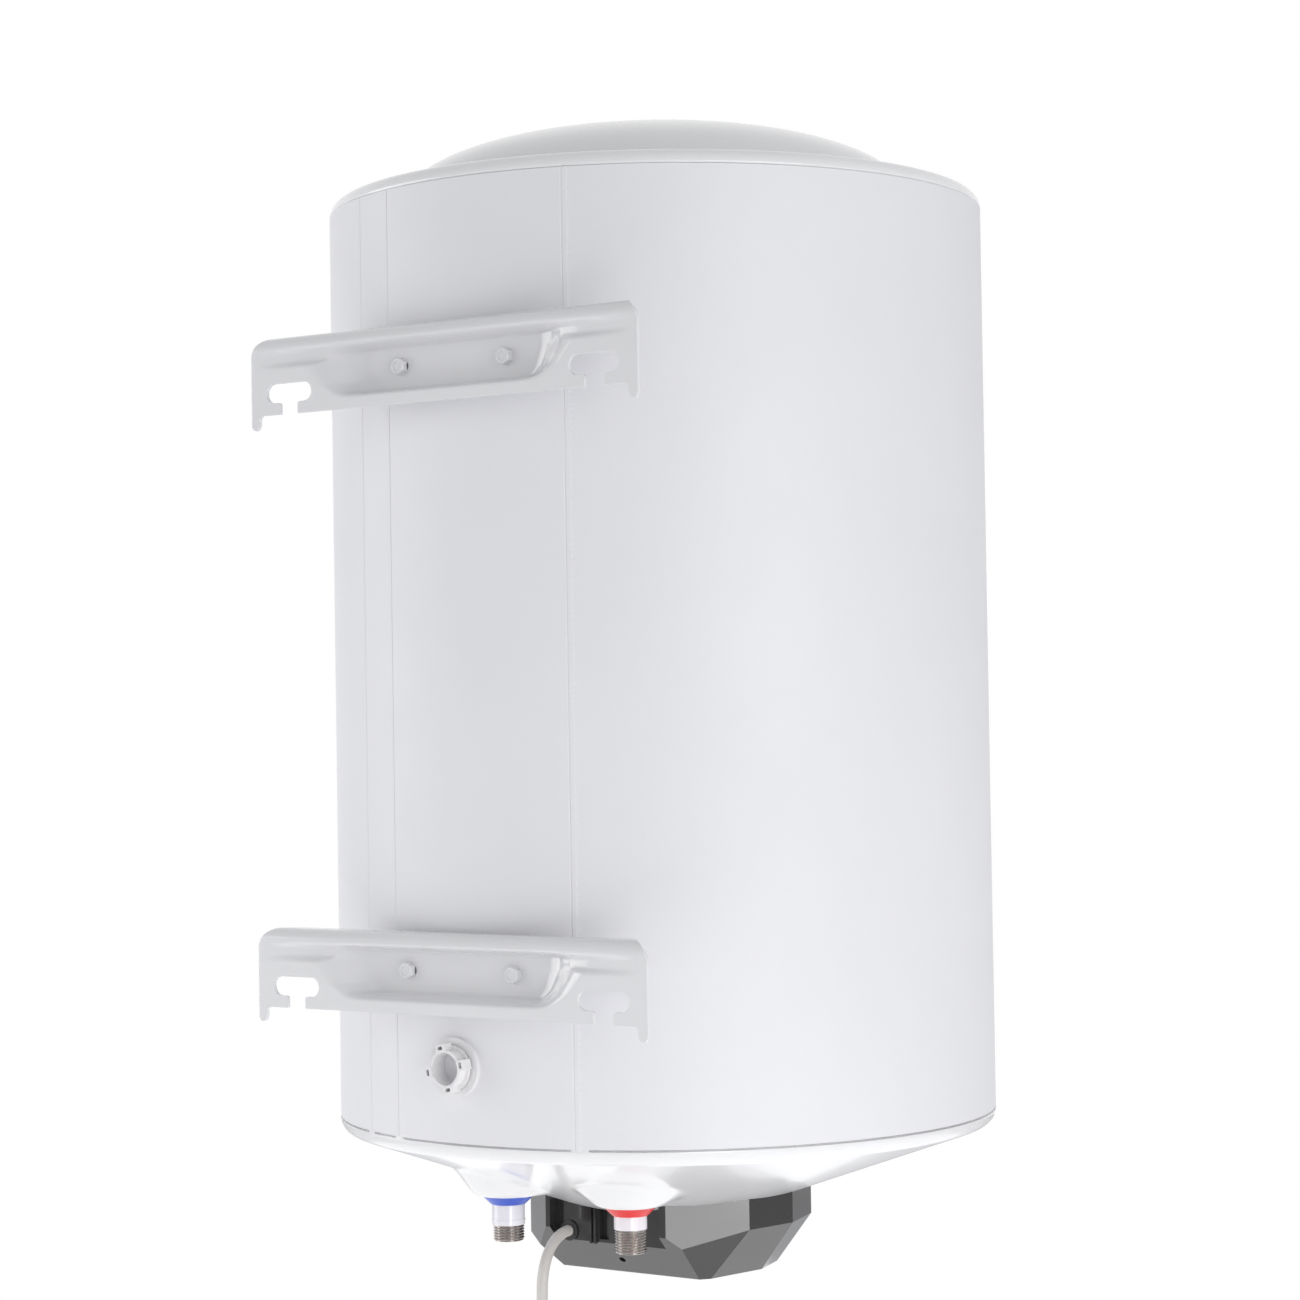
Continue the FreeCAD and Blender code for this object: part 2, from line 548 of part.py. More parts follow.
top_solid, top_head = tank_head(TANK_TOP, 1)
bottom_solid, bottom_head = tank_head(TANK_BOT, -1)
tank_at = V(AX.x, AX.y, TANK_BOT)
tank_solid = union([cyl(TANK_R, TANK_TOP - TANK_BOT, tank_at), top_solid, bottom_solid])
casing_at = V(AX.x, AX.y, CASING_BOT)
casing_h = CASING_TOP - CASING_BOT
casing_hull = cyl(CASING_R, casing_h, casing_at)
casing_inside = cyl(CASING_R - CASING_T, casing_h, casing_at)
inner_y = -WALL_GAP - 34.0              # inner end of the spacer socket
SOCKET_R = 14.0

# casing with its lock seam and the openings for the bracket posts and the spacer
seam = box(-1.6, 1.6, CASING_R - 0.4, CASING_R + 0.5, CASING_BOT, CASING_TOP)
seam.rotate(V(0, 0, 0), Z, SEAM_ANGLE)
seam.translate(AX)
casing = casing_hull.cut(casing_inside).fuse(seam)
for x, z in BOLTS:
    casing = casing.cut(post_hole(POST_R, x, -WALL_GAP - 30.0, z, 40))
casing = casing.cut(post_hole(SOCKET_R, SPACER_X, inner_y, SPACER_Z, 44))
save("outer_casing", casing)
save("top_cap", top_cap())
dish = save("bottom_cap", bottom_cap())

for name, z0 in (("upper", 0.0), ("lower", LOWER_Z)):
    save(name + "_bracket", bracket(z0, 1))
    save(name + "_bracket_bolts", bracket_bolts(z0))
    save(name + "_mount_posts", mount_posts(z0, tank_solid))

# screw-out wall spacer and its socket in the casing
TUBE_R = 12.0
TUBE_BORE = 10.2
face_y = -WALL_GAP + 3.0                # wall side of the socket flange
socket_at = V(SPACER_X, inner_y, SPACER_Z)
socket = ring(SOCKET_R, TUBE_R + 0.1, 34.0, socket_at, Y).fuse(cyl(SOCKET_R, 2.0, socket_at, Y))
flange = ring(SPACER_R, TUBE_R + 0.1, 8.0, V(SPACER_X, face_y - 8.0, SPACER_Z), Y).cut(casing_hull)
save("wall_spacer_socket", socket.cut(tank_solid).fuse(flange))
spacer = ring(TUBE_R, TUBE_BORE, 30.0, V(0, face_y - 21.0, 0), Y)
spacer = spacer.fuse(cyl(TUBE_BORE + 0.8, 1.5, V(0, face_y - 13.0, 0), Y))
spacer = spacer.fuse(ring(14.6, TUBE_BORE, 1.4, V(0, face_y + 1.4, 0), Y))
for k in range(4):
    lug = box(-3.2, 3.2, face_y + 1.4, face_y + 10.0, 10.8, 15.6)
    lug = lug.cut(box(-1.9, 1.9, face_y + 2.8, face_y + 11.0, 12.2, 14.4))
    lug.rotate(V(0, 0, 0), Y, 13.0 + 90 * k)
    spacer = spacer.fuse(lug)
spacer = spacer.cut(cyl(TUBE_BORE, 12.0, V(0, face_y - 2.0, 0), Y))
spacer.translate(V(SPACER_X, 0, SPACER_Z))
save("wall_spacer", spacer)

# tank, with openings for the pipes and the heating flange neck
head_z = TANK_BOT - HEAD_RISE
bottom_head = bottom_head.cut(cyl(NECK_R, 60, V(AX.x, AX.y, head_z - 28.0)))
for x in PIPES.values():
    bottom_head = bottom_head.cut(cyl(PIPE_R, 60, V(x, PIPE_Y, head_z - 18.0)))
save("tank_shell", ring(TANK_R, TANK_R - TANK_T, TANK_TOP - TANK_BOT, tank_at))
save("tank_top_head", top_head)
save("tank_bottom_head", bottom_head)

# heating flange: welded neck, gasket and plate with six bolts
flange_at = V(AX.x, AX.y, FLANGE_Z)
neck = ring(NECK_R, NECK_R - 2.5, head_z + 6.0 - FLANGE_Z, flange_at)
neck = neck.fuse(ring(FLANGE_R, NECK_R - 2.5, 5.0, flange_at))
gasket = ring(FLANGE_R - 1.0, NECK_R - 2.5, 2.0, flange_at - Z * 2.0)
plate = cyl(FLANGE_R, 4.0, V(AX.x, AX.y, PLATE_Z))
bolt_circle = [V(FLANGE_PCD / 2 * cos(radians(60 * k)), AX.y + FLANGE_PCD / 2 * sin(radians(60 * k)), PLATE_Z)
               for k in range(6)]
studs = []
nuts = []
for at in bolt_circle:
    hole = cyl(M6_R, 20, at - Z * 4.0)
    neck = neck.cut(hole)
    gasket = gasket.cut(hole)
    plate = plate.cut(hole)
    studs.append(hole.fuse(hexagon(10.0, 4.0, V(at.x, at.y, FLANGE_Z + 5.0), Z)))
    nuts.append(hexagon(10.0, 4.0, at - Z * 4.0, Z).cut(cyl(M6_R, 10, at - Z * 6.0)))
save("flange_neck", neck)
save("flange_gasket", gasket)
save("flange_studs", Part.makeCompound(studs))
save("flange_nuts", Part.makeCompound(nuts))

# wet parts carried by the flange plate: element, anode and thermowell
LEG_R = 4.0                             # element tube
BEND = 14.0                             # half spacing of its legs
WELL_R = 5.0
legs_y = AX.y - 12.0
element_top = TANK_BOT + 302.0
leg_low = PLATE_Z - 14.0
legs = [cyl(LEG_R, element_top - leg_low, V(x, legs_y, leg_low)) for x in (-BEND, BEND)]
bend = Part.makeTorus(BEND, LEG_R, V(0, legs_y, element_top), V(0, -1, 0), 0, 360, 360)
bend = bend.common(box(-30, 30, legs_y - 18, legs_y + 22, element_top, element_top + 30))
anode_at = V(16.0, AX.y + 18.0, PLATE_Z)
well_at = V(-14.0, AX.y + 16.0, PLATE_Z)
for x in (-BEND, BEND):
    plate = plate.cut(cyl(LEG_R, 10, V(x, legs_y, PLATE_Z - 2)))
plate = plate.cut(cyl(4.0, 10, anode_at - Z * 2))
plate = plate.cut(cyl(WELL_R, 10, well_at - Z * 2))
save("flange_plate", plate)
save("heating_element", union(legs + [bend]))
save("magnesium_anode", cyl(11.0, 250.0, anode_at + Z * 24.0).cut(cyl(4.0, 30, anode_at + Z * 20)))
save("anode_stud", cyl(4.0, 56.0, anode_at - Z * 6.0).fuse(hexagon(13.0, 5.0, anode_at - Z * 5.0, Z)))
well = cyl(WELL_R, 230.0, well_at - Z * 3.0)
save("thermowell", well.cut(cyl(WELL_R - 1.0, 226.0, well_at - Z * 3.0)))

# steel chassis hung from two of the flange bolts; the cover is screwed to it
CHASSIS_T = 1.5
hang_x = FLANGE_PCD / 2
chassis = box(-hang_x - 2, hang_x + 2, AX.y - 30, AX.y + 30, CHASSIS_Z, CHASSIS_Z + CHASSIS_T)
nut_z = PLATE_Z - 4.0
for s in (-1, 1):
    near, far = s * hang_x, s * (hang_x + 8.5)
    for x0, x1, z0, z1 in ((far - s * CHASSIS_T, far, CHASSIS_Z, nut_z),
                           (near - s * 6.0, far, nut_z - CHASSIS_T, nut_z),
                           (near, far, CHASSIS_Z, CHASSIS_Z + CHASSIS_T)):
        chassis = chassis.fuse(box(min(x0, x1), max(x0, x1), AX.y - 12, AX.y + 12, z0, z1))
    chassis = chassis.cut(cyl(M6_R, 30, V(near, AX.y, PLATE_Z - 20)))
for x, y in SCREWS:
    chassis = chassis.cut(cyl(SCREW_R, 20, V(x, y, CHASSIS_Z - 5)))
chassis = chassis.cut(box(-26, 26, AX.y - 22, AX.y + 28, CHASSIS_Z - 5, CHASSIS_Z + 5))
save("control_chassis", chassis)
screws = []
for x, y in SCREWS:
    screw = cyl(SCREW_R, CHASSIS_Z + 4.0 - COVER_BOT - 3.0, V(x, y, COVER_BOT + 3.0))
    screw = screw.fuse(cyl(4.0, 2.6, V(x, y, COVER_BOT + 0.4)))
    for half_x, half_y in ((2.4, 0.5), (0.5, 2.4)):
        screw = screw.cut(box(x - half_x, x + half_x, y - half_y, y + half_y, COVER_BOT, COVER_BOT + 1.6))
    screws.append(screw)
save("cover_screws", Part.makeCompound(screws))

# water pipes, their sleeves and the coloured collars
SLEEVE_R = 10.85
pipe_top = {"cold": TANK_BOT, "hot": TANK_BOT + 32.0}
pipe_node = {"cold": "cold_inlet_pipe", "hot": "hot_outlet_pipe"}
for name, x in PIPES.items():
    end = V(x, PIPE_Y, PIPE_END)
    sleeve_low = V(x, PIPE_Y, THREAD_TOP - SLEEVE_LAP if name == "cold" else THREAD_TOP)
    chamfer = Part.makeCone(THREAD_R - 0.9, THREAD_R + 0.6, 1.5, end, Z)
    thread = cyl(THREAD_R, sleeve_low.z - PIPE_END, end).cut(cyl(THREAD_R + 5, 1.5, end).cut(chamfer))
    pipe = cyl(PIPE_R, pipe_top[name] - PIPE_END, end).fuse(thread)
    save(pipe_node[name], pipe.cut(cyl(BORE_R, FAR, end - Z)))
    sleeve = ring(SLEEVE_R, PIPE_R, BOSS_Z + 5.0 - sleeve_low.z, sleeve_low)
    if name == "cold":
        sleeve = sleeve.fuse(ring(SLEEVE_R + 0.35, PIPE_R, 1.2, sleeve_low + Z * 2.2))
    save(name + "_pipe_sleeve", sleeve)
    collar = Part.makeCone(11.7, 18.0, 6.0, V(x, PIPE_Y, BOSS_Z - 6.0), Z)
    collar = collar.fuse(cyl(COLLAR_NECK_R, 5.0, V(x, PIPE_Y, BOSS_Z)))
    save(name + "_collar", collar.cut(cyl(SLEEVE_R, 40, V(x, PIPE_Y, BOSS_Z - 27.0))))
stand_z = pipe_top["hot"] - 12.0
stand_at = V(PIPES["hot"], PIPE_Y, stand_z)
save("hot_stand_pipe", ring(BORE_R, BORE_R - 1.2, TANK_TOP - 24.0 - stand_z, stand_at))
cold_top = V(PIPES["cold"], PIPE_Y, pipe_top["cold"])
deflector = cyl(16.0, 1.5, cold_top + Z * 10.0).fuse(ring(PIPE_R + 1.5, PIPE_R, 8.0, cold_top - Z * 8.0))
for k in range(3):
    leg = box(PIPE_R + 0.2, PIPE_R + 1.5, -1.5, 1.5, -2.0, 11.0)
    leg.rotate(V(0, 0, 0), Z, 120 * k)
    leg.translate(cold_top)
    deflector = deflector.fuse(leg)
save("cold_deflector", deflector)

# foam fills everything between the tank and the outer skins
foam = union([casing_inside, turned(top_line(CAP_T) + [(0.0, CASING_TOP)]), dish_solid(CAP_T)])
foam = foam.cut(tank_solid).cut(cap_lip(CASING_TOP - LIP_H, CASING_TOP + 2.0))
foam = foam.cut(cap_lip(CASING_BOT - 2.0, CASING_BOT + LIP_H))
foam = foam.cut(cyl(FLANGE_R + 4.0, FLANGE_Z + 22.0 - EDGE_Z + FLANGE_R, V(AX.x, AX.y, EDGE_Z - FLANGE_R)))
foam = foam.cut(cyl(NECK_R, head_z + 42.0 - FLANGE_Z, flange_at))
for x in PIPES.values():
    foam = foam.cut(cyl(18.0, 60, V(x, PIPE_Y, BOSS_Z - 17.0)))
    foam = foam.cut(cyl(PIPE_R, FAR, V(x, PIPE_Y, PIPE_END)))
foam = foam.cut(post_hole(SOCKET_R, SPACER_X, inner_y - 16.0, SPACER_Z, 60))
for x, z in BOLTS:
    foam = foam.cut(post_hole(POST_R, x, -WALL_GAP - 40.0, z, 60))
foam = foam.cut(dish)
# slivers cut off at the flange and the collars hold no foam
save("insulation_foam", max(foam.Solids, key=lambda piece: piece.Volume))

# control parts on the sloping front facet: thermostat and knob, switch, lamp
cover = save("control_cover", control_cover())
STEM_R = 3.0
knob = cyl(14.0, 9.0, Z).fuse(cyl(15.5, 2.0, Z))
knob = knob.fuse(box(-1.2, 1.2, 4.0, 13.2, 9.0, 10.8))
for k in range(18):
    knob = knob.cut(cyl(1.0, 12, V(14.6 * cos(pi * k / 9), 14.6 * sin(pi * k / 9), 3.0)))
knob = knob.cut(cyl(STEM_R + 0.05, 8.2, V(0, 0, 0)))
save("temperature_knob", on_facet(knob, 0))
stem = cyl(STEM_R, COVER_T + 7.5, Z * -COVER_T)
save("thermostat", on_facet(cyl(11.0, 14.0, Z * (-COVER_T - 14.0)).fuse(stem), 0))
PIVOT_Z = -1.6                          # rocker pivot below the facet
PIVOT_R = 1.2
rocker_pts = [(-7.2, -0.6), (-7.2, 3.0), (0.0, 1.2), (7.2, 1.6), (7.2, -0.6), (3.0, -3.4), (-3.0, -3.4)]
pts = [V(-5.4, y, z) for y, z in rocker_pts]
rocker = Part.Face(Part.makePolygon(pts + [pts[0]])).extrude(V(10.8, 0, 0))
rocker = rocker.fuse(cyl(PIVOT_R, 12.8, V(-6.4, 0, PIVOT_Z), V(1, 0, 0)))
bezel = box(-8.5, 8.5, -11.0, 11.0, 0.0, 1.2).fuse(box(-7.0, 7.0, -9.5, 9.5, -14.0, 0.5))
bezel = bezel.cut(box(-5.6, 5.6, -8.4, 8.4, -6.0, 3.0))
bezel = bezel.cut(cyl(PIVOT_R + 0.05, 13.0, V(-6.5, 0, PIVOT_Z), V(1, 0, 0)))
save("switch_body", on_facet(bezel, SWITCH_X))
save("power_switch", on_facet(rocker, SWITCH_X))
lens = cyl(3.5, COVER_T + 1, Z * -COVER_T).fuse(cyl(4.6, 1.0, V(0, 0, 0)))
save("indicator_lens", on_facet(lens.fuse(cyl(4.6, 1.0, Z * (-COVER_T - 1))), LENS_X))
cutout_at = RESET_AT + Z * COVER_T
cutout = ring(8.0, 3.3, 6.0, cutout_at).fuse(cyl(8.0, 10.0, cutout_at + Z * 6.0))
save("thermal_cutout", cutout)
save("cutout_reset_button", cyl(3.2, 3.2, RESET_AT + Z * 0.3))
save("terminal_block", box(30, 46, AX.y - 55, AX.y - 19, CHASSIS_Z - 14.0, CHASSIS_Z))

# thermostat bulb in its well, joined to the thermostat by a capillary tube
CAPILLARY_R = 0.9
bulb_at = well_at + V(0, -1.5, 30.0)
tube_end = well_at + V(0, -1.5, -5.0)
tube_start = FACET_MID - FACET_N * (COVER_T + 14.0)
capillary = sweep([tube_start, tube_start + V(-3.0, 7.0, 10.5), V(-10.0, AX.y - 25.0, PLATE_Z - 16.0),
                   V(-13.0, AX.y + 3.0, PLATE_Z - 15.0), tube_end - Z * 5.0, tube_end], CAPILLARY_R)
capillary = capillary.fuse(cyl(CAPILLARY_R, bulb_at.z - tube_end.z, tube_end))
save("thermostat_bulb", cyl(2.2, 140.0, bulb_at).fuse(capillary))

# mains cord with its gland, tied coil and plug
gland = ring(GLAND_R, CORD_R, 5.0, GLAND - Y * 4.0, Y)
gland = gland.fuse(ring(GLAND_R + 0.9, CORD_R, 1.4, GLAND, Y))
gland = gland.fuse(ring(GLAND_R + 0.9, CORD_R, 1.5, GLAND - Y * 4.0, Y))
save("cord_gland", gland.cut(cover))
coil = cord_coil()
save("power_cord", cord_tube(ROUTE, CORD_R).cut(coil))
save("cord_coil", coil)
save("cord_tie", cord_tie())
save("cord_tail", cord_tube(TAIL, CORD_R).cut(coil))
plug = power_plug()
pins = plug_pins()
save("power_plug", plug.cut(pins))
save("plug_pins", pins)
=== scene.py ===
import json
from math import asin, cos, pi, radians, sin

import bmesh
import bpy
import numpy as np
from mathutils import Matrix, Vector
from mathutils.geometry import delaunay_2d_cdt


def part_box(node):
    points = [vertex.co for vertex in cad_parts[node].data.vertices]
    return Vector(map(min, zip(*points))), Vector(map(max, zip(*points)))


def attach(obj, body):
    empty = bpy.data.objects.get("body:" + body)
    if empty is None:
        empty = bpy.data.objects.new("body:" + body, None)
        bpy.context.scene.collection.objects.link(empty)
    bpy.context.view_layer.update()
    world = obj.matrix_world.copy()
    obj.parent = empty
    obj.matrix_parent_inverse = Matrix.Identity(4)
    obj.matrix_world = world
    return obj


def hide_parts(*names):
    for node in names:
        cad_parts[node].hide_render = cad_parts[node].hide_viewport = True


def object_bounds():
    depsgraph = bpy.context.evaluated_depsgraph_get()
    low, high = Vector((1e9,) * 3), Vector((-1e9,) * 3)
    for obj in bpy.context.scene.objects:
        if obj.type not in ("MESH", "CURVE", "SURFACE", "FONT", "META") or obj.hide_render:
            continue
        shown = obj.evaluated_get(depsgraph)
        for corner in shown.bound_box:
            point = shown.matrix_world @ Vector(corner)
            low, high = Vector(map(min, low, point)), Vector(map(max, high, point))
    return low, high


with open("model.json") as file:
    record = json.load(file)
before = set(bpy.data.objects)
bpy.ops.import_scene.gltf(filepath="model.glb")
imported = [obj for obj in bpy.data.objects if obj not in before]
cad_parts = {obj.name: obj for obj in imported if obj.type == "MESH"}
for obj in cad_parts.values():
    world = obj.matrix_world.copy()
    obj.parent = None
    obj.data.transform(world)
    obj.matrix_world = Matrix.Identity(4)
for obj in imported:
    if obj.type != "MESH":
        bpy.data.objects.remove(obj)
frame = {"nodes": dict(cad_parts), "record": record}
nodes = frame["nodes"]
cad_low, cad_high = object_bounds()

# ---- sizes, in metres, from the frame --------------------------------------------------
MM = 0.001
casing_low, casing_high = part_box("outer_casing")
CASING_R = 0.225
AXIS = Vector((0.0, casing_low.y + CASING_R, 0.0))
RIM = 0.010
HOT, COLD = "hot_outlet_pipe", "cold_inlet_pipe"
BRACKET_SHEET = 0.0025
POCKET_DEPTH = 0.0175
HOOK_DROP = 0.0235                      # foot of a bracket below its slot line
SLOT_LINES = {"upper_bracket": 0.0, "lower_bracket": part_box("lower_bracket")[0].z + HOOK_DROP}


# ---- material helpers --------------------------------------------------------------------
def new_material(name, color, rough, metal=0.0, coat=0.0, ior=1.5):
    """Principled material; returns it with its node tree and shader."""
    mat = bpy.data.materials.new(name)
    mat.use_nodes = True
    tree = mat.node_tree
    shader = tree.nodes["Principled BSDF"]
    shader.inputs["Base Color"].default_value = (*color, 1.0)
    shader.inputs["Roughness"].default_value = rough
    shader.inputs["Metallic"].default_value = metal
    shader.inputs["Coat Weight"].default_value = coat
    shader.inputs["Coat Roughness"].default_value = 0.06
    shader.inputs["IOR"].default_value = ior
    return mat, tree, shader


def add(tree, kind, **values):
    """Add a node and set its inputs by name."""
    node = tree.nodes.new(kind)
    for key, value in values.items():
        node.inputs[key.replace("_", " ")].default_value = value
    return node


def noise(tree, scale, detail=3.0, stretch=(1.0, 1.0, 1.0)):
    """Noise in object space, stretched along the axes."""
    coords = add(tree, "ShaderNodeTexCoord")
    mapping = add(tree, "ShaderNodeMapping", Scale=stretch)
    tree.links.new(coords.outputs["Object"], mapping.inputs["Vector"])
    tex = add(tree, "ShaderNodeTexNoise", Scale=scale, Detail=detail)
    tree.links.new(mapping.outputs["Vector"], tex.inputs["Vector"])
    return tex


def vary_color(tree, shader, tex, dark, light):
    """Slow colour change between two close tones."""
    ramp = add(tree, "ShaderNodeValToRGB")
    ramp.color_ramp.elements[0].position = 0.3
    ramp.color_ramp.elements[1].position = 0.7
    ramp.color_ramp.elements[0].color = (*dark, 1.0)
    ramp.color_ramp.elements[1].color = (*light, 1.0)
    tree.links.new(tex.outputs["Fac"], ramp.inputs["Fac"])
    tree.links.new(ramp.outputs["Color"], shader.inputs["Base Color"])


def vary_roughness(tree, shader, tex, low, high):
    span = add(tree, "ShaderNodeMapRange", To_Min=low, To_Max=high)
    tree.links.new(tex.outputs["Fac"], span.inputs["Value"])
    tree.links.new(span.outputs["Result"], shader.inputs["Roughness"])


def bump(tree, shader, tex, strength, distance):
    node = add(tree, "ShaderNodeBump", Strength=strength, Distance=distance)
    tree.links.new(tex.outputs["Fac"], node.inputs["Height"])
    tree.links.new(node.outputs["Normal"], shader.inputs["Normal"])


def paint(name, color, rough, coat, peel, peel_size=260.0):
    """White stove paint: faint orange peel and slightly uneven gloss."""
    mat, tree, shader = new_material(name, color, rough, coat=coat)
    soft = noise(tree, 7.0)
    darker = tuple(c * 0.975 for c in color)
    vary_color(tree, shader, soft, darker, color)
    vary_roughness(tree, shader, noise(tree, 22.0), rough * 0.85, rough * 1.2)
    bump(tree, shader, noise(tree, peel_size, 2.0), peel, 0.0004)
    return mat


def plastic(name, color, rough, grain=900.0, strength=0.05, coat=0.0):
    """Moulded plastic with a fine surface grain."""
    mat, tree, shader = new_material(name, color, rough, coat=coat)
    vary_color(tree, shader, noise(tree, 40.0), tuple(c * 0.93 for c in color), color)
    vary_roughness(tree, shader, noise(tree, 90.0), rough * 0.85, min(1.0, rough * 1.2))
    bump(tree, shader, noise(tree, grain, 2.0), strength, 0.0002)
    return mat


def metal(name, color, rough, stretch=(1.0, 1.0, 1.0), scale=400.0):
    """Bare metal with drawing or turning marks along one direction."""
    mat, tree, shader = new_material(name, color, rough, metal=1.0)
    marks = noise(tree, scale, 4.0, stretch)
    vary_color(tree, shader, noise(tree, 60.0), tuple(c * 0.85 for c in color), color)
    vary_roughness(tree, shader, marks, rough * 0.7, rough * 1.5)
    bump(tree, shader, marks, 0.08, 0.0002)
    return mat


WHITE = (0.80, 0.80, 0.825)
LOOKS = {
    "casing_white": paint("casing_white", WHITE, 0.46, 0.0, 0.06),
    "cap_white": paint("cap_white", (0.83, 0.83, 0.84), 0.2, 0.4, 0.03),
    "bracket_white": paint("bracket_white", (0.765, 0.765, 0.78), 0.16, 0.5, 0.05, 320.0),
    "zinc_steel": metal("zinc_steel", (0.72, 0.73, 0.75), 0.32),
    "white_plastic": plastic("white_plastic", (0.82, 0.81, 0.82), 0.35),
    "tank_steel": plastic("tank_steel", (0.05, 0.10, 0.25), 0.2),
    "seal_rubber": plastic("seal_rubber", (0.03, 0.03, 0.03), 0.7),
    "copper_sheath": metal("copper_sheath", (0.72, 0.42, 0.26), 0.3),
    "magnesium": metal("magnesium", (0.55, 0.56, 0.58), 0.6),
    "stainless": metal("stainless", (0.48, 0.45, 0.43), 0.16, (1.0, 1.0, 12.0)),
    "sleeve_white": plastic("sleeve_white", (0.84, 0.82, 0.87), 0.15, coat=0.4),
    "collar_blue": plastic("collar_blue", (0.04, 0.10, 0.58), 0.3, coat=0.1),
    "collar_red": plastic("collar_red", (0.76, 0.022, 0.022), 0.3, coat=0.1),
    "foam_yellow": plastic("foam_yellow", (0.75, 0.62, 0.33), 0.9, 120.0, 0.5),
    "cover_black": plastic("cover_black", (0.03, 0.029, 0.029), 0.09, 700.0, 0.015, coat=0.5),
    "knob_grey": plastic("knob_grey", (0.20, 0.20, 0.21), 0.38),
    "control_black": plastic("control_black", (0.03, 0.03, 0.03), 0.5),
    "control_cream": plastic("control_cream", (0.6, 0.55, 0.42), 0.5),
    "switch_red": plastic("switch_red", (0.5, 0.02, 0.015), 0.2),
    "lens_green": plastic("lens_green", (0.05, 0.42, 0.10), 0.08),
    "gland_grey": plastic("gland_grey", (0.03, 0.03, 0.03), 0.5),
    "cord_grey": plastic("cord_grey", (0.62, 0.60, 0.57), 0.42, 500.0),
    "tie_black": plastic("tie_black", (0.03, 0.03, 0.03), 0.4),
    "plug_brass": metal("plug_brass", (0.75, 0.68, 0.5), 0.25),
}


def dress_cad_nodes():
    """Give every carried-over CAD node its procedural finish."""
    for part in frame["record"]["subparts"]:
        node = nodes[part["node"]]
        node.data.materials.clear()
        node.data.materials.append(LOOKS[part["material_slot"]])
    for name in ("upper_bracket_bolts", "lower_bracket_bolts"):
        nodes[name].data.materials[0] = LOOKS["bracket_white"]


def finish_piece(name, mesh, slot, body, replaces=(), smooth=True):
    """Link a new mesh, dress it, and set it on its body."""
    piece = bpy.data.objects.new(name, mesh)
    bpy.context.scene.collection.objects.link(piece)
    mesh.materials.append(LOOKS[slot])
    if smooth:
        mesh.polygons.foreach_set("use_smooth", [True] * len(mesh.polygons))
    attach(piece, body)
    if replaces:
        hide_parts(*replaces)
    return piece


def grid_mesh(name, rows, closed=True):
    """Mesh from rows of points; each row closes on itself when closed is set."""
    count = len(rows[0])
    verts = [p for row in rows for p in row]
    faces = []
    for i in range(len(rows) - 1):
        for j in range(count if closed else count - 1):
            k = (j + 1) % count
            a, b = i * count, (i + 1) * count
            faces.append((a + j, a + k, b + k, b + j))
    mesh = bpy.data.meshes.new(name)
    mesh.from_pydata(verts, [], faces)
    mesh.validate()
    mesh.update()
    return mesh


def arc(cx, cz, r, a0, a1, steps):
    """Points of an arc in the (radius, height) plane, angles in degrees."""
    return [(cx + r * cos(radians(a0 + (a1 - a0) * k / steps)),
             cz + r * sin(radians(a0 + (a1 - a0) * k / steps))) for k in range(steps + 1)]


# ---- casing ------------------------------------------------------------------------------
SEAM_AT = radians(20.2)                 # from the wall side towards -X
SEAM_HALF = 0.0016                      # half width of the folded seam
FAINT_LINES = [radians(-16.0), radians(-25.0)]


def casing_radius(angle, z):
    """Rolled sheet: a lock seam with a crimped edge, and two faint roller lines."""
    d = (angle - SEAM_AT) * CASING_R
    rise = 1.0 + np.exp(-(d + SEAM_HALF) / 0.00012)
    fall = 1.0 + np.exp((d - SEAM_HALF) / 0.00012)
    ridge = 0.00035 / rise / fall
    groove = -0.0004 * np.exp(-((d + 0.0021) / 0.0004) ** 2)
    crimp = 0.00025 * np.exp(-((d - 0.0022) / 0.0009) ** 2) * (np.sin(z * 2 * pi / 0.0038) > 0.55)
    lines = sum(-0.00003 * np.exp(-((angle - a) * CASING_R / 0.0012) ** 2)
                for a in FAINT_LINES)
    return CASING_R + ridge + groove + crimp + lines


def casing_skin():
    """Casing sheet, meshed finely round the seam and the two faint lines."""
    z0, z1 = casing_low.z, casing_high.z
    fine = [SEAM_AT + d / CASING_R for d in np.arange(-0.0036, 0.0040, 0.0003)]
    fine += [a + d / CASING_R for a in FAINT_LINES for d in np.arange(-0.003, 0.0031, 0.0006)]
    angles = np.array(sorted(set(np.linspace(-pi, pi, 361)[:-1].tolist() + fine)))
    rows = []
    for z in np.arange(z0, z1 + 0.0005, 0.00095):
        r = casing_radius(angles, min(z, z1))
        x = AXIS.x - r * np.sin(angles)
        y = AXIS.y + r * np.cos(angles)
        rows.append([(a, b, min(z, z1)) for a, b in zip(x.tolist(), y.tolist())])
    finish_piece("casing_skin", grid_mesh("casing_skin", rows), "casing_white", "heater",
                 ["outer_casing"])


# ---- caps --------------------------------------------------------------------------------
def lathe(name, profile, segments=180):
    """Mesh turned round the heater's axis from (radius, height) points."""
    turns = [2 * pi * k / segments for k in range(segments)]
    rows = []
    for r, z in profile:
        rows.append([(AXIS.x + r * cos(a), AXIS.y + r * sin(a), z) for a in turns])
    return grid_mesh(name, rows)


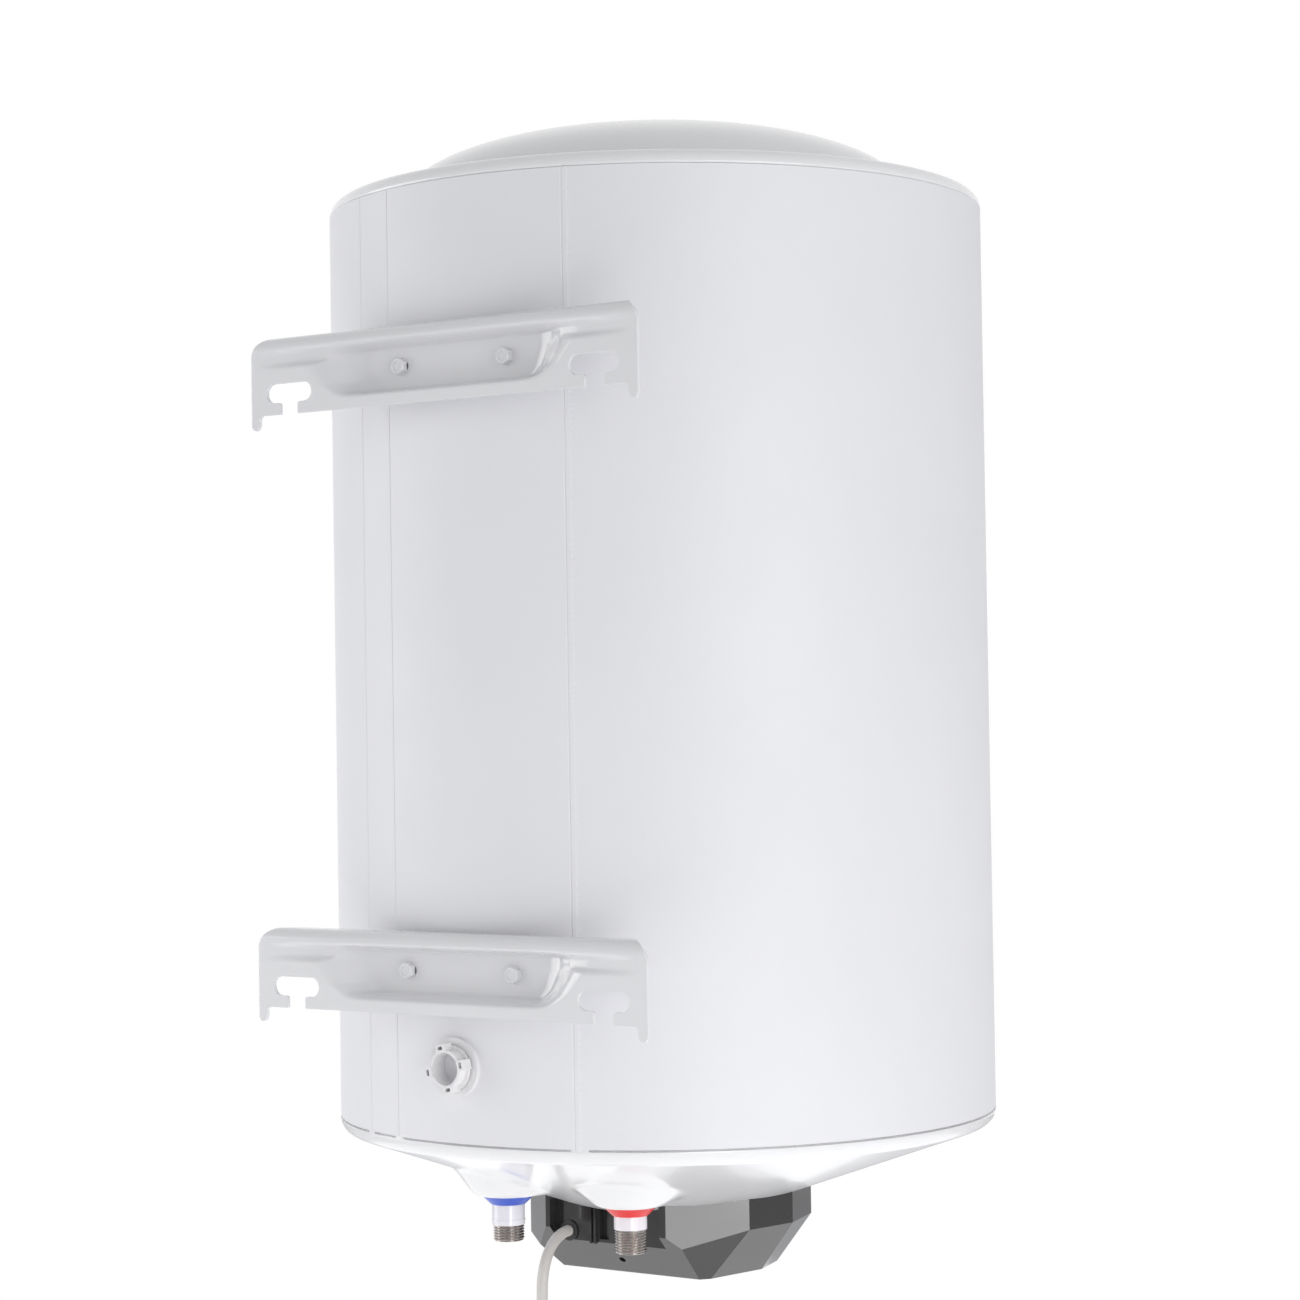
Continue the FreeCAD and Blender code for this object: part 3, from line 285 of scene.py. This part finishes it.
def top_cap_skin():
    """Top cap with its rolled rim and low dome."""
    base, top = casing_high.z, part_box("top_cap")[1].z
    dome_r, start = 0.174, base + RIM + 0.0025
    profile = [(CASING_R - 0.0006, base - 0.002), (CASING_R - 0.0006, base)]
    profile += arc(CASING_R - RIM, base, RIM, 2, 90, 12)
    profile += [(0.205, base + RIM + 0.0006), (0.190, base + RIM + 0.0014),
                (dome_r + 0.007, start - 0.0006), (dome_r + 0.0025, start + 0.0015)]
    profile += [(dome_r * cos(radians(a)), start + (top - start) * sin(radians(a)))
                for a in range(5, 90, 3)]
    profile += [(0.0008, top)]
    finish_piece("top_cap_skin", lathe("top_cap_skin", profile), "cap_white", "heater",
                 ["top_cap"])


CAP_SHEET = 0.0015
BOSS_R, BOSS_BLEND = 0.038, 0.019       # reach of a pipe boss, and of its smooth edge
DISH_SLOPE = 0.35


def dish_height(r):
    """Outer line of the dished bottom cap as a height for each radius."""
    base = casing_low.z
    reach = radians(90 - 19.3)
    edge_r = CASING_R - RIM + RIM * cos(reach)
    edge_z = base - RIM * sin(reach)
    if r > edge_r:
        return base - (max(0.0, RIM ** 2 - (r - CASING_R + RIM) ** 2)) ** 0.5
    return edge_z - DISH_SLOPE * (edge_r - r)


def bottom_cap_skin():
    """Dished cap that swells smoothly into a flat boss round each pipe."""
    boss_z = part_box("hot_collar")[1].z - 0.005
    centres = [((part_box(n)[0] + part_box(n)[1]) / 2) for n in (HOT, COLD)]
    radii = [0.0699, 0.071] + np.linspace(0.073, 0.2138, 72).tolist()
    radii += [CASING_R - RIM + RIM * sin(radians(a)) for a in range(0, 91, 6)]
    rows = []
    for r in radii:
        row = []
        for k in range(360):
            a = radians(k)
            x, y = AXIS.x + r * cos(a), AXIS.y + r * sin(a)
            z = dish_height(min(r, CASING_R))
            for c in centres:
                d = ((x - c.x) ** 2 + (y - c.y) ** 2) ** 0.5
                t = min(1.0, max(0.0, (BOSS_R - d) / BOSS_BLEND))
                t = t * t * (3 - 2 * t)
                z += (min(z, boss_z) - z) * t
            row.append((x, y, z))
        rows.append(row)
    rows.append([(x, y, z + CAP_SHEET) for x, y, z in rows[-1]])
    finish_piece("bottom_cap_skin", grid_mesh("bottom_cap_skin", rows), "cap_white", "heater",
                 ["bottom_cap"])


# ---- pressed brackets --------------------------------------------------------------------
HALF, TOP, BOTTOM, HOOK = 0.1555, 0.0373, -0.0140, -HOOK_DROP
BEND = 0.009
BEND_Z = TOP - BEND
CORNER = 0.014
SLOT_X, SLOT_L, SLOT_W, NECK = 0.123, 0.0385, 0.0125, 0.015
BOLT_X, BOLT_Z, BOLT_HOLE_R = 0.0425, 0.012, 0.0033
HOLE_STRETCH = 0.003                    # half the extra length of the oblong hole
MESH_STEP = 0.0011                      # spacing of the points along an outline


def unroll(z):
    """Height in front view to distance along the sheet, over the top bend."""
    return z if z <= BEND_Z else BEND_Z + BEND * asin(min(1.0, (z - BEND_Z) / BEND))


def bracket_outline():
    """Outer edge of the flat sheet with its T slots, anticlockwise, (x, v)."""
    half_slot = SLOT_L / 2 - SLOT_W / 2
    low = unroll(BOTTOM)

    def t_slot(cx):
        r, n = SLOT_W / 2, NECK / 2
        e = 0.0016
        pts = [(cx - n, low), (cx - n, -r - e), (cx - n - e * 0.3, -r - e * 0.3), (cx - n - e, -r)]
        pts += arc(cx - half_slot, 0.0, r, 270, 90, 10)
        pts += arc(cx + half_slot, 0.0, r, 90, -90, 10)
        pts += [(cx + n + e, -r), (cx + n + e * 0.3, -r - e * 0.3), (cx + n, -r - e), (cx + n, low)]
        return pts

    hook = [(HALF - 0.0086, BOTTOM), (HALF - 0.0068, BOTTOM - 0.0018),
            (HALF - 0.0068, HOOK + 0.0034), (HALF - 0.0056, HOOK + 0.0008),
            (HALF - 0.0033, HOOK), (HALF - 0.0012, HOOK + 0.0006), (HALF, HOOK + 0.0030)]
    corner = [(x, unroll(z)) for x, z in arc(HALF - CORNER, TOP - CORNER, CORNER, 0, 88, 10)]
    edge = BEND_Z + BEND * pi / 2 + 0.0075
    right = hook + corner + [(HALF - CORNER - 0.004, edge - 0.003), (HALF - CORNER - 0.008, edge)]
    left = [(-x, v) for x, v in reversed(right)]
    return right + left + t_slot(-SLOT_X) + t_slot(SLOT_X)


def smooth(t):
    """Smooth step from 0 to 1."""
    t = np.clip(t, 0.0, 1.0)
    return t * t * t * (t * (6 * t - 15) + 10)


def press_depth(x, z):
    """Depth of the pressing behind the wall-side face."""
    ax = np.abs(x)
    floor_x = np.interp(z, [-0.0045, 0.004, 0.017], [0.057, 0.063, 0.066])
    mouth_x = np.interp(z, [-0.0065, 0.003, 0.017], [0.083, 0.099, 0.113])
    side = smooth((mouth_x - ax) / (mouth_x - floor_x))
    low = smooth((z + 0.0068) / 0.0056)
    high = smooth((0.0292 - z) / 0.0050)
    pocket = POCKET_DEPTH * side * low * high
    run = np.clip((0.150 - ax) / 0.060, 0.0, 1.0)
    ear = 0.0062 * run * smooth((z - 0.0155) / 0.0050) * high
    both = np.maximum(pocket, ear)
    return both + 0.18 * np.minimum(pocket, ear) * (1 - side)


def bracket_skin(node):
    """Pressed sheet bracket: a finely meshed flat pattern, pressed and bent into shape."""
    outline = bracket_outline()
    points, edges = [], []

    def loop(pts):
        start = len(points)
        for k, p in enumerate(pts):
            q = pts[(k + 1) % len(pts)]
            n = max(1, int(((q[0] - p[0]) ** 2 + (q[1] - p[1]) ** 2) ** 0.5 / MESH_STEP))
            for i in range(n):
                points.append((p[0] + (q[0] - p[0]) * i / n, p[1] + (q[1] - p[1]) * i / n))
        count = len(points) - start
        edges.extend((start + i, start + (i + 1) % count) for i in range(count))

    loop(outline)
    right = arc(BOLT_X, BOLT_Z, BOLT_HOLE_R, -90, 90, 10)
    left = arc(BOLT_X, BOLT_Z, BOLT_HOLE_R, 90, 270, 10)
    loop([(x + HOLE_STRETCH, z) for x, z in right] + [(x - HOLE_STRETCH, z) for x, z in left])
    loop(arc(-BOLT_X, BOLT_Z, BOLT_HOLE_R, 0, 346, 24))
    edge = max(v for _, v in outline)
    for v in np.arange(HOOK + 0.0006, edge, 0.0010):
        xs = np.arange(-HALF + 0.0005, HALF, 0.0012)
        points.extend((float(x), float(v)) for x in xs)
    verts, _, faces, _, _, _ = delaunay_2d_cdt([Vector(p) for p in points], edges, [], 0, 1e-7)
    flat = np.array([(p.x, p.y) for p in verts])

    def inside(poly, x, y):
        hit = False
        for k in range(len(poly)):
            (x0, y0), (x1, y1) = poly[k], poly[k - 1]
            if (y0 > y) != (y1 > y) and x < (x1 - x0) * (y - y0) / (y1 - y0) + x0:
                hit = not hit
        return hit

    def hole_hit(x, y):
        dx = max(0.0, abs(x - BOLT_X) - HOLE_STRETCH) if x > 0 else abs(x + BOLT_X)
        return dx * dx + (y - BOLT_Z) ** 2 < BOLT_HOLE_R ** 2

    kept = []
    for f in faces:
        cx, cy = flat[list(f)].mean(axis=0)
        if inside(outline, cx, cy) and not hole_hit(cx, cy):
            kept.append(tuple(f))
    x, v = flat[:, 0], flat[:, 1]
    turn = np.clip((v - BEND_Z) / BEND, 0.0, pi / 2)
    z = np.where(v > BEND_Z, BEND_Z + BEND * np.sin(turn), v)
    y = np.where(v > BEND_Z, -BEND * (1 - np.cos(turn)), 0.0)
    y = y - np.maximum(0.0, v - BEND_Z - BEND * pi / 2)
    y = y - press_depth(x, v) * (v < 0.03)
    z0 = SLOT_LINES[node]
    mesh = bpy.data.meshes.new(node + "_skin")
    points = [(a, b, c + z0) for a, b, c in zip(x.tolist(), y.tolist(), z.tolist())]
    mesh.from_pydata(points, [], kept)
    mesh.validate()
    piece = finish_piece(node + "_skin", mesh, "bracket_white", "heater", [node])
    tidy = bmesh.new()
    tidy.from_mesh(mesh)
    loose = [w for w in tidy.verts if not w.link_faces]
    bmesh.ops.delete(tidy, geom=loose, context="VERTS")
    bmesh.ops.recalc_face_normals(tidy, faces=tidy.faces)
    if sum(f.normal.y for f in tidy.faces) < 0:
        bmesh.ops.reverse_faces(tidy, faces=tidy.faces)
    tidy.to_mesh(mesh)
    tidy.free()
    shell = piece.modifiers.new("sheet", "SOLIDIFY")
    shell.thickness = BRACKET_SHEET
    shell.offset = -1.0
    soft = piece.modifiers.new("edge", "BEVEL")
    soft.width = 0.0005
    soft.segments = 2
    soft.limit_method = "ANGLE"
    soft.angle_limit = radians(60)


# ---- threaded pipes ----------------------------------------------------------------------
PITCH, THREAD_DEPTH = 1.814 * MM, 1.16 * MM
PIPE_R, BORE_R = 0.0095, 0.0075
HOT_THREAD, COLD_THREAD = 0.0157, 0.0109    # seen length of each thread


def threaded_pipe(node, name, thread):
    """Steel pipe with a cut G 1/2 thread at its lower end, in place of the smooth CAD solid."""
    low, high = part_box(node)
    centre = (low + high) / 2
    major = (high.x - low.x) / 2
    steps, turns = 96, 12
    rows = []

    def row(z, radius):
        return [(centre.x + radius(a) * cos(a), centre.y + radius(a) * sin(a), z)
                for a in (2 * pi * k / steps for k in range(steps))]

    def tooth(z):
        def radius(a):
            phase = ((z - low.z) / PITCH - a / (2 * pi)) % 1.0
            wave = abs(2 * phase - 1)
            fade = min(1.0, (low.z + thread - z) / 0.0009)
            lead = min(1.0, (z - low.z) / 0.0014)
            cut = THREAD_DEPTH * min(1.0, max(0.0, (wave - 0.08) / 0.84)) * fade
            return min(major - cut, major - 0.0011 + 0.0011 * lead)
        return radius

    rows.append(row(high.z, lambda a: BORE_R))
    rows.append(row(low.z + 0.0004, lambda a: BORE_R))
    rows.append(row(low.z, lambda a: BORE_R + 0.0004))
    rows.append(row(low.z, lambda a: major - 0.0013))
    count = int(thread / PITCH * turns)
    for k in range(1, count + 1):
        z = low.z + thread * k / count
        rows.append(row(z, tooth(z)))
    rows.append(row(low.z + thread, lambda a: PIPE_R))
    rows.append(row(high.z, lambda a: PIPE_R))
    piece = finish_piece(name, grid_mesh(name, rows), "stainless", "heater", [node])
    piece.data.set_sharp_from_angle(angle=radians(50))


# ---- mains cord --------------------------------------------------------------------------
CORD_D = 0.0075
COIL_R, TURNS = 0.040, 4
LAY_STEP = radians(72)
LAY_R = 0.51 * CORD_D / sin(LAY_STEP / 2)
GLAND = Vector((0.035, -0.176, -0.562745))
COIL = GLAND + Vector((-0.039, 0.025, -0.1085))
# route points from the gland, in millimetres
RUN = [(0.0, 1.4, 0.0), (0.0, 8.0, 0.0), (-0.6, 20.3, -5.1), (-1.6, 29.7, -14.5), (-2.2, 34.8, -26.8),
       (-2.0, 35.2, -40.5), (-0.8, 33.4, -55.5), (2.2, 29.6, -71.5), (5.8, 26.2, -88.5)]
TAIL_DROPS = [(0.6, 0.3, -20.0), (0.4, 0.8, -40.0), (0.0, 1.0, -60.0)]


def coil_points(per_turn=24):
    """Turns of the tied coil, lying side by side round its centre line."""
    out = []
    for k in range(TURNS * per_turn + 1):
        around = -2 * pi * k / per_turn
        lay = LAY_STEP * k / per_turn
        r = COIL_R + LAY_R * cos(lay)
        out.append(COIL + Vector((r * cos(around), LAY_R * sin(lay), r * sin(around))))
    return out


def mains_cord():
    """Mains cord: the seen run, the tied coil and the tail, as one curve."""
    points = [GLAND + Vector(p) * MM for p in RUN] + coil_points()
    points += [points[-1] + Vector(p) * MM for p in TAIL_DROPS]
    curve = bpy.data.curves.new("mains_cord", "CURVE")
    curve.dimensions = "3D"
    spline = curve.splines.new("NURBS")
    spline.points.add(len(points) - 1)
    for point, place in zip(spline.points, points):
        point.co = (*place, 1.0)
    spline.order_u = 3
    spline.use_endpoint_u = True
    spline.resolution_u = 6
    curve.bevel_depth = CORD_D / 2
    curve.bevel_resolution = 5
    curve.use_fill_caps = True
    cord = bpy.data.objects.new("mains_cord", curve)
    bpy.context.scene.collection.objects.link(cord)
    curve.materials.append(LOOKS["cord_grey"])
    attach(cord, "heater")
    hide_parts("power_cord", "cord_coil", "cord_tail")


# ---- stage -------------------------------------------------------------------------------
def backdrop_material():
    """Pale floor that the camera sees as white."""
    mat, tree, shader = new_material("studio_floor", (0.82, 0.82, 0.83), 0.7)
    vary_roughness(tree, shader, noise(tree, 3.0), 0.6, 0.8)
    path = add(tree, "ShaderNodeLightPath")
    glow = add(tree, "ShaderNodeEmission", Color=(1.0, 1.0, 1.0, 1.0), Strength=1.0)
    mix = add(tree, "ShaderNodeMixShader")
    tree.links.new(path.outputs["Is Camera Ray"], mix.inputs[0])
    tree.links.new(shader.outputs[0], mix.inputs[1])
    tree.links.new(glow.outputs[0], mix.inputs[2])
    tree.links.new(mix.outputs[0], tree.nodes["Material Output"].inputs["Surface"])
    return mat


def build_stage():
    """Plain floor under the heater, and a world that lights it softly."""
    mesh = bpy.data.meshes.new("floor")
    z, s = cad_low.z - 0.10, 2.6
    y0, y1 = AXIS.y - s, AXIS.y + s
    mesh.from_pydata([(-s, y0, z), (s, y0, z), (s, y1, z), (-s, y1, z)], [], [(0, 1, 2, 3)])
    floor = bpy.data.objects.new("floor", mesh)
    bpy.context.scene.collection.objects.link(floor)
    mesh.materials.append(backdrop_material())

    world = bpy.data.worlds.new("studio")
    bpy.context.scene.world = world
    world.use_nodes = True
    tree = world.node_tree
    plain = tree.nodes["Background"]
    plain.inputs["Color"].default_value = (0.97, 0.98, 1.0, 1.0)
    plain.inputs["Strength"].default_value = 0.5
    white = add(tree, "ShaderNodeBackground", Color=(1.0, 1.0, 1.0, 1.0), Strength=1.0)
    path = add(tree, "ShaderNodeLightPath")
    seen = add(tree, "ShaderNodeMath")
    seen.operation = "MAXIMUM"
    glass = add(tree, "ShaderNodeMath")
    glass.operation = "MAXIMUM"
    mix = add(tree, "ShaderNodeMixShader")
    tree.links.new(path.outputs["Is Camera Ray"], seen.inputs[0])
    tree.links.new(path.outputs["Is Glossy Ray"], seen.inputs[1])
    tree.links.new(seen.outputs[0], glass.inputs[0])
    tree.links.new(path.outputs["Is Transmission Ray"], glass.inputs[1])
    tree.links.new(glass.outputs[0], mix.inputs[0])
    tree.links.new(plain.outputs[0], mix.inputs[1])
    tree.links.new(white.outputs[0], mix.inputs[2])
    tree.links.new(mix.outputs[0], tree.nodes["World Output"].inputs["Surface"])


def soft_light(name, place, aim, size, power):
    """Rectangular soft box, (width, height) in metres."""
    lamp = bpy.data.lights.new(name, "AREA")
    lamp.shape = "RECTANGLE"
    lamp.size, lamp.size_y = size
    lamp.energy = power
    light = bpy.data.objects.new(name, lamp)
    bpy.context.scene.collection.objects.link(light)
    light.location = place
    ahead = Vector(aim) - Vector(place)
    light.rotation_euler = ahead.to_track_quat("-Z", "Y").to_euler()


def build_lights():
    """Two wide side lamps, one from below and a small one low at the back."""
    centre = Vector((0.0, AXIS.y, -0.2))
    soft_light("key", centre + Vector((-2.3, 0.9, -0.15)), centre, (1.5, 2.2), 24.0)
    soft_light("left", centre + Vector((2.0, 1.1, -0.1)), centre, (1.4, 2.2), 20.0)
    under = Vector((-0.1, AXIS.y + 0.15, cad_low.z - 0.06))
    soft_light("under", under, under + Vector((0, 0, 1)), (1.8, 1.8), 6.2)
    glow_from = centre + Vector((-1.25, 1.15, -0.62))
    glow_at = centre + Vector((0, 0, -0.37))
    soft_light("rear_glow", glow_from, glow_at, (0.5, 0.35), 2.4)


LENS = 86.0
CAMERA_AT = (-1.2264, 1.5242, -0.2159)
YAW, PITCH_UP, ROLL = radians(34.94), radians(1.25), radians(-0.88)


def build_camera():
    """Camera fitted to the photograph."""
    data = bpy.data.cameras.new("camera")
    data.sensor_width = 36.0
    data.lens = LENS
    camera = bpy.data.objects.new("camera", data)
    bpy.context.scene.collection.objects.link(camera)
    ahead = Vector((sin(YAW) * cos(PITCH_UP), -cos(YAW) * cos(PITCH_UP), sin(PITCH_UP)))
    right = ahead.cross(Vector((0, 0, 1))).normalized()
    up = right.cross(ahead)
    right, up = right * cos(ROLL) + up * sin(ROLL), up * cos(ROLL) - right * sin(ROLL)
    turn = Matrix((right, up, -ahead)).transposed()
    camera.matrix_world = Matrix.Translation(CAMERA_AT) @ turn.to_4x4()
    bpy.context.scene.camera = camera


build_camera()
build_stage()
build_lights()
dress_cad_nodes()
casing_skin()
top_cap_skin()
bottom_cap_skin()
for name in SLOT_LINES:
    bracket_skin(name)
threaded_pipe(HOT, "hot_pipe_thread", HOT_THREAD)
threaded_pipe(COLD, "cold_pipe_thread", COLD_THREAD)
mains_cord()

bpy.context.scene.view_settings.view_transform = "Standard"
